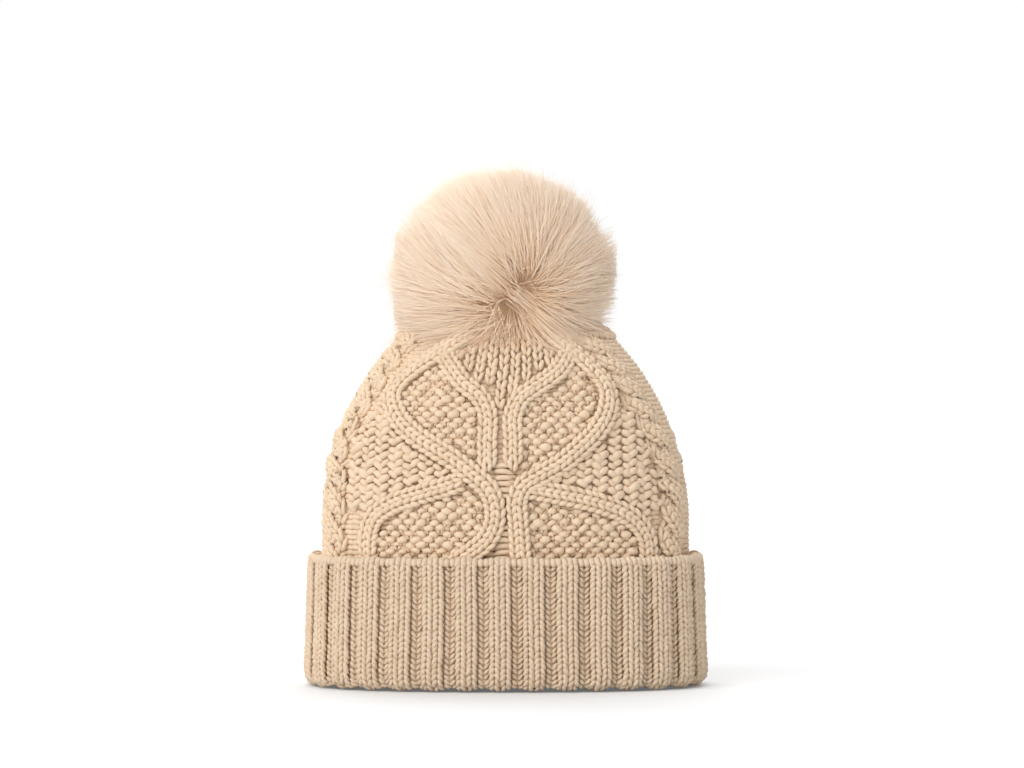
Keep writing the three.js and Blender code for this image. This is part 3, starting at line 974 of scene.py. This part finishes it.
def fur_material():
    made, tree, shader = material("fur_hair", (0.93, 0.78, 0.62), 0.55, 0.3, 0.45, (1.0, 0.90, 0.80))
    shades = [(0.0, (0.80, 0.56, 0.36)), (0.4, (0.88, 0.67, 0.475)), (1.0, (0.92, 0.81, 0.69))]
    painted(tree, shader, stitch_tone(tree), shades)
    # Painted glow: a faint emission stands in for the light that passes through the fine hairs.
    shader.inputs["Emission Color"].default_value = (1.0, 0.84, 0.68, 1)
    shader.inputs["Emission Strength"].default_value = 0.03
    return made


def fur_pieces():
    """The long hairs, in pieces small enough to export whole."""
    coat = fur_material()
    for i in range(FUR_PIECES):
        last = i == FUR_PIECES - 1
        lines, tones = combed(HAIRS, 0.15 if last else 0.03)
        ups = unit(unit(lines - FUR_MIDDLE) + rng.normal(0, 0.22, (len(lines), 1, 3)))
        wide = (0.34 + 0.14 * rng.random(len(lines)))[:, None] * HAIR_TAPER * 1
        tones = tones + rng.normal(0, 0.12, (len(lines), 1))
        heap = Heap()
        heap.tubes(lines, ups, wide, wide * 0.35, sides=3, tones=tones, turned=math.pi / 6)
        heap.build(f"pom_fur_{i + 1}", "pom", coat, "fur", ["pom_fur"], smooth=False)


def undercoat():
    """The dense ball of short fur between the long hairs."""
    rows, columns = 90, 130
    polar = np.linspace(0.01, math.pi - 0.01, rows)[::-1, None] + np.zeros((1, columns))
    azimuth = np.zeros((rows, 1)) + math.tau * np.arange(columns) / columns
    ripple = 1 + rng.normal(0, 0.008, polar.shape)
    way = np.stack([np.sin(polar) * np.cos(azimuth), np.sin(polar) * np.sin(azimuth), np.cos(polar)], -1)
    shape = FUR_MIDDLE + way * (reach_at(way) * 0.76 * ripple)[..., None]
    heap = Heap()
    heap.grid(off_the_crown(shape, 0.6), capped=True)
    # The undercoat is a darker colour: painted shade in the gaps between the long hairs.
    look = fibrous("fur_undercoat", (0.72, 0.49, 0.30), (0.86, 0.64, 0.44), fibre=0.8, grain=900.0)
    heap.build("pom_undercoat", "pom", look, "fur", ["pom_fur"])


fur_pieces()
undercoat()

# ---- linings, trim and press stud


def box_mm(name):
    """A CAD node's lowest and highest corner in millimetres."""
    return [np.array(corner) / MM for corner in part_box(name)]


def ply_cord(heap, path, radius, turn):
    """Three yarns twisted round one another along a path (N, 3), once every turn millimetres."""
    plies = 3
    path = np.asarray(path, float)
    s = distances(path)
    turns = max(round(s[-1] / turn), 1)
    forward = unit(np.gradient(path, axis=0))
    side = unit(np.cross(forward, [0.31, 0.12, 0.94]))
    other = np.cross(forward, side)
    for ply in range(plies):
        angle = math.tau * (s / s[-1] * turns + ply / plies)
        wave = side * np.cos(angle)[:, None] + other * np.sin(angle)[:, None]
        heap.tubes((path + wave * radius * 0.5)[None], wave[None], radius * 1.06, radius * 1.06)


def turned_shell(profile, columns, ripple):
    """A heap of a closed outline (radius, height) turned round Z; ripple(angle, radius, height) adds to both."""
    profile = np.asarray(profile, float)
    turn = math.tau * np.arange(columns) / columns
    r = np.repeat(profile[:, :1], columns, 1)
    z = np.repeat(profile[:, 1:], columns, 1)
    dr, dz = ripple(turn[None, :], r, z)
    r, z = r + dr, z + dz
    heap = Heap()
    heap.grid(np.stack([r * np.cos(turn), r * np.sin(turn), z], -1), closed=True)
    return heap


thread_yarn = fibrous("sewing_yarn", (0.50, 0.36, 0.22), (0.68, 0.52, 0.36), rough=0.75, mottle=300.0)
felt_cloth = fibrous("pressed_felt", (0.52, 0.42, 0.31), (0.70, 0.60, 0.48), fibre=0.7, grain=1300.0)
wadding_fluff = fibrous("wadding_fluff", (0.74, 0.73, 0.71), (0.90, 0.89, 0.87), fibre=0.8, grain=700.0)
pelt_cloth = fibrous("pelt_backing", (0.52, 0.43, 0.33), (0.72, 0.62, 0.50), fibre=0.5, grain=1500.0)


def fleece_ripple(f, v):
    wave = np.sin(math.tau * (41 * f + 0.05 * v)) * math.sin(0.55 * v)
    wave = wave + np.sin(math.tau * 97 * f + 0.9 * v)
    return 0.16 * wave + rng.normal(0, 0.16, len(f)) - 0.2


shell_piece(
    "fleece_lining", fleece_cloth, "fleece", "fleece_band", (10.75, 13.3), (8.2, 68.8), 620, 80, fleece_ripple
)

# Seam yarn up the inside of the back, tacked down at intervals.
seam_v = np.linspace(8, 118, 260)
seam = inner_wall.at(np.full(260, 0.5), seam_v, -2.1)
heap = Heap()
ply_cord(heap, seam, 1.05, 6.5)
for level in seam_v[6::13]:
    t = np.linspace(-1, 1, 7)
    f = 0.5 + 3.2 * t / inner_wall.girth(level)
    ply_cord(heap, inner_wall.at(f, level + 1.6 * t, -0.7 - 1.5 * (1 - t**2)), 0.55, 2.5)
heap.build("seam_yarn", "hat", thread_yarn, "thread", ["back_seam_cord"])

# Thread tacks that hold the cuff up at its sides: three wraps and a bar across each.
TACK_RADIUS, TACK_TURN = 0.45, 2.2
for name in ("left", "right"):
    low, high = box_mm(f"cuff_tack_{name}")
    x, y, z = (low + high) / 2
    t = np.linspace(-1, 1, 14)
    heap = Heap()
    for shift in (-1.3, 0.0, 1.3):
        across = x + (high[0] - low[0]) / 2 * t
        wrap = np.stack([across, y + shift + 0.35 * t, z - 0.5 + 0.75 * (1 - t**2)], -1)
        ply_cord(heap, wrap, TACK_RADIUS, TACK_TURN)
    bar = np.stack([x + 0 * t, y + 2.1 * t, z + 0.45 - 0.5 * t**2], -1)
    ply_cord(heap, bar, TACK_RADIUS, TACK_TURN)
    heap.build(f"cuff_tack_stitches_{name}", "hat", thread_yarn, "thread", [f"cuff_tack_{name}"])


def gathering_yarn(name, body, replaced, loop, radius, turn):
    """A ring of yarn, slightly uneven, half way up the CAD cord that it stands for."""
    low, high = box_mm(replaced)
    angle = np.linspace(0, math.tau, 200)
    r = loop + 0.12 * np.sin(7 * angle)
    height = np.full(200, (low[2] + high[2]) / 2)
    heap = Heap()
    ply_cord(heap, np.stack([r * np.cos(angle), r * np.sin(angle), height], -1), radius, turn)
    heap.build(name, body, thread_yarn, "thread", [replaced])


gathering_yarn("crown_gather_yarn", "crown_tip", "crown_gather_cord", 9.3, 0.95, 3.6)
gathering_yarn("pom_gather_yarn", "pom", "pom_gather_thread", 12.5, 0.76, 3.0)

# Felt washer with a fuzzy cut edge.
low, high = (corner[2] for corner in box_mm("felt_washer"))
FELT_EDGE = [(2.7, 0.1), (4.5, 0), (7, 0), (8.6, 0.08), (8.95, 0.5)]  # radius, height above the face
outline = [(r, low + up) for r, up in FELT_EDGE] + [(r, high - up) for r, up in FELT_EDGE[::-1]]
outline.append((2.62, (low + high) / 2))


def felt_fuzz(a, r, z):
    return 0.10 * np.sin(17 * a + 3 * z) * (r > 8) - 0.05, 0.05 * np.sin(13 * a + 2.1 * r)


turned_shell(outline, 120, felt_fuzz).build("felt_ring", "snap_base", felt_cloth, "felt", ["felt_washer"])

# Gathered backing of the pom and the wadding in it.
PELT_MIDDLE, PELT_OUT, PELT_IN, WADDING_OUT = 242.0, 25.9, 24.9, 24.2


def ball_outline(radius, foot):
    start = math.asin(np.clip((foot - PELT_MIDDLE) / radius, -1, 1))
    angle = np.linspace(start, math.pi / 2 - 0.01, 30)
    return np.stack([radius * np.cos(angle), PELT_MIDDLE + radius * np.sin(angle)], -1)


def pleats(a, r, z):
    near_mouth = np.clip((PELT_MIDDLE - z) / PELT_OUT, 0, 1) ** 2
    return -0.45 * near_mouth * (1 - np.cos(26 * a)) / 2, 0 * r + 0 * a


def lumps(a, r, z):
    return -0.25 * (1 + np.sin(9 * a + z / 2.3) * np.sin(z / 3.1)) * (r > 2), 0 * r + 0 * a


foot = box_mm("pom_pelt")[0][2]
outline = joined([ball_outline(PELT_OUT, foot), ball_outline(PELT_IN, foot)[::-1]])
turned_shell(outline, 208, pleats).build("pom_backing", "pom", pelt_cloth, "backing", ["pom_pelt"])

foot = box_mm("pom_filling")[0][2]
flat_foot = [(0.05, foot + 0.4), (6, foot + 0.35)]
outline = joined([flat_foot, ball_outline(WADDING_OUT, foot + 0.4)[1:]])
wadding = turned_shell(outline, 120, lumps).build("pom_wadding", "pom", wadding_fluff, "wadding", ["pom_filling"])

# Blank woven label: a folded ribbon sewn along its top.
low, high = box_mm("care_label")
columns, rows = 27, 41
u, w = np.meshgrid(np.linspace(-1, 1, columns), np.linspace(0, 1, rows))
x = u * (high[0] - low[0]) / 2 * 0.99
z = high[2] - w * (high[2] - low[2])
bow = 0.22 * w**2 * (1 - u**2) + 0.05 * np.sin(9 * w + 2 * u)
edge = 0.10 * (np.abs(u) > 0.93) + 0.12 * (w < 0.06)
front = np.stack([x, low[1] + 0.22 - bow * 0.6 - edge, z], -1)
back = np.stack([x, high[1] - 0.22 - bow * 0.6, z], -1)
heap = Heap()
heap.grid(joined([front, back[:, ::-1]], 1), capped=True)

ribbon, tree, shader = material("label_satin", (0.86, 0.83, 0.77), 0.42, 0.2, 0.4)
threads = [
    node(
        tree, "ShaderNodeTexWave",
        {"Vector": object_place(tree), "Scale": scale, "Distortion": 0.4, "Detail": 1.0},
        bands_direction=direction,
    ).outputs["Fac"]
    for direction, scale in (("X", 900.0), ("Z", 700.0))
]
weave = math_node(tree, "MULTIPLY", *threads)
painted(tree, shader, weave, [(0.0, (0.78, 0.74, 0.67)), (1.0, (0.90, 0.87, 0.81))])
bumped(tree, shader, weave, 0.3, 0.0002)
label = heap.build("label_ribbon", "hat", ribbon, "label", ["care_label"])

# Press stud and base disc keep their CAD shapes and get real finishes.
nickel, tree, shader = material("brushed_nickel", (0.66, 0.63, 0.58), 0.3, metal=1.0)
scratch = noise(tree, 1400.0, 5.0, Distortion=0.6)
rough = node(tree, "ShaderNodeMapRange", {"Value": scratch, "To Min": 0.22, "To Max": 0.42}).outputs[0]
tree.links.new(rough, shader.inputs["Roughness"])
painted(tree, shader, scratch, [(0.3, (0.60, 0.57, 0.52)), (0.7, (0.70, 0.67, 0.62))])
bumped(tree, shader, scratch, 0.15, 0.0001)
disc_board = fibrous(
    "disc_board", (0.55, 0.50, 0.43), (0.70, 0.66, 0.58), rough=0.7, fibre=0.25, grain=600.0, sheen=0.0
)
STUD = ("snap_socket_cap", "snap_socket", "snap_ring_spring", "snap_stud", "snap_stud_cap")
for name in (*STUD, "pom_base_disc"):
    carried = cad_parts[name]
    carried.data.materials.clear()
    carried.data.materials.append(nickel if name in STUD else disc_board)

# ---- stage, lights and camera

world = bpy.data.worlds.new("studio")
scene.world = world
world.use_nodes = True
tree = world.node_tree
background = tree.nodes["Background"]
seen = node(tree, "ShaderNodeBackground", {"Color": (1, 1, 1, 1), "Strength": 1.0})
background.inputs["Color"].default_value = (0.93, 0.96, 1.0, 1)
background.inputs["Strength"].default_value = 0.40
ray = node(tree, "ShaderNodeLightPath").outputs["Is Camera Ray"]
choose = node(tree, "ShaderNodeMixShader", {0: ray, 1: background.outputs[0], 2: seen.outputs[0]})
tree.links.new(choose.outputs[0], tree.nodes["World Output"].inputs["Surface"])


def lamp(name, source, spread, power, colour):
    """A soft far light shining from the source's direction."""
    light = bpy.data.lights.new(name, "SUN")
    light.angle = math.radians(spread)
    light.energy = power
    light.color = colour
    holder = placed(name, light)
    holder.location = source
    holder.rotation_euler = (-Vector(source)).to_track_quat("-Z", "Y").to_euler()


lamp("key", (-0.85, -1.1, 0.9), 58, 2.2, (1.0, 0.985, 0.965))
lamp("top", (0.15, 0.5, 1.2), 50, 1.5, (1.0, 0.995, 0.985))
lamp("rear", (-0.4, 1.2, 0.6), 60, 1.3, (1.0, 0.99, 0.98))
lamp("fill", (0.8, -1.2, 0.25), 60, 0.18, (0.97, 0.98, 1.0))

floor_paint, tree, shader = material("pale_floor", (0.7, 0.7, 0.7), 0.9)
painted(tree, shader, noise(tree, 3.0, 2.0), [(0.0, (0.69, 0.69, 0.69)), (1.0, (0.71, 0.71, 0.71))])
shader.inputs["Emission Color"].default_value = (1, 1, 1, 1)
direct = node(tree, "ShaderNodeLightPath").outputs["Is Camera Ray"]
glow = math_node(tree, "MULTIPLY", direct, 0.13)
tree.links.new(glow, shader.inputs["Emission Strength"])
FLOOR_HALF = 30.0
corners = [(FLOOR_HALF * x, FLOOR_HALF * y, 0) for x, y in ((-1, -1), (1, -1), (1, 1), (-1, 1))]
mesh = bpy.data.meshes.new("floor")
mesh.from_pydata(corners, [], [range(4)])
mesh.materials.append(floor_paint)
floor = placed("floor", mesh)
floor.location = (0, 0, -0.0002)

camera_data = bpy.data.cameras.new("camera")
camera_data.lens = 152.9
camera_data.sensor_width = 36
camera_data.clip_end = 100
camera = placed("camera", camera_data)
camera.location = (0.0037, -2.5, 0.1724)
camera.rotation_euler = (math.pi / 2, 0, 0)
scene.camera = camera
scene.view_settings.view_transform = "Standard"
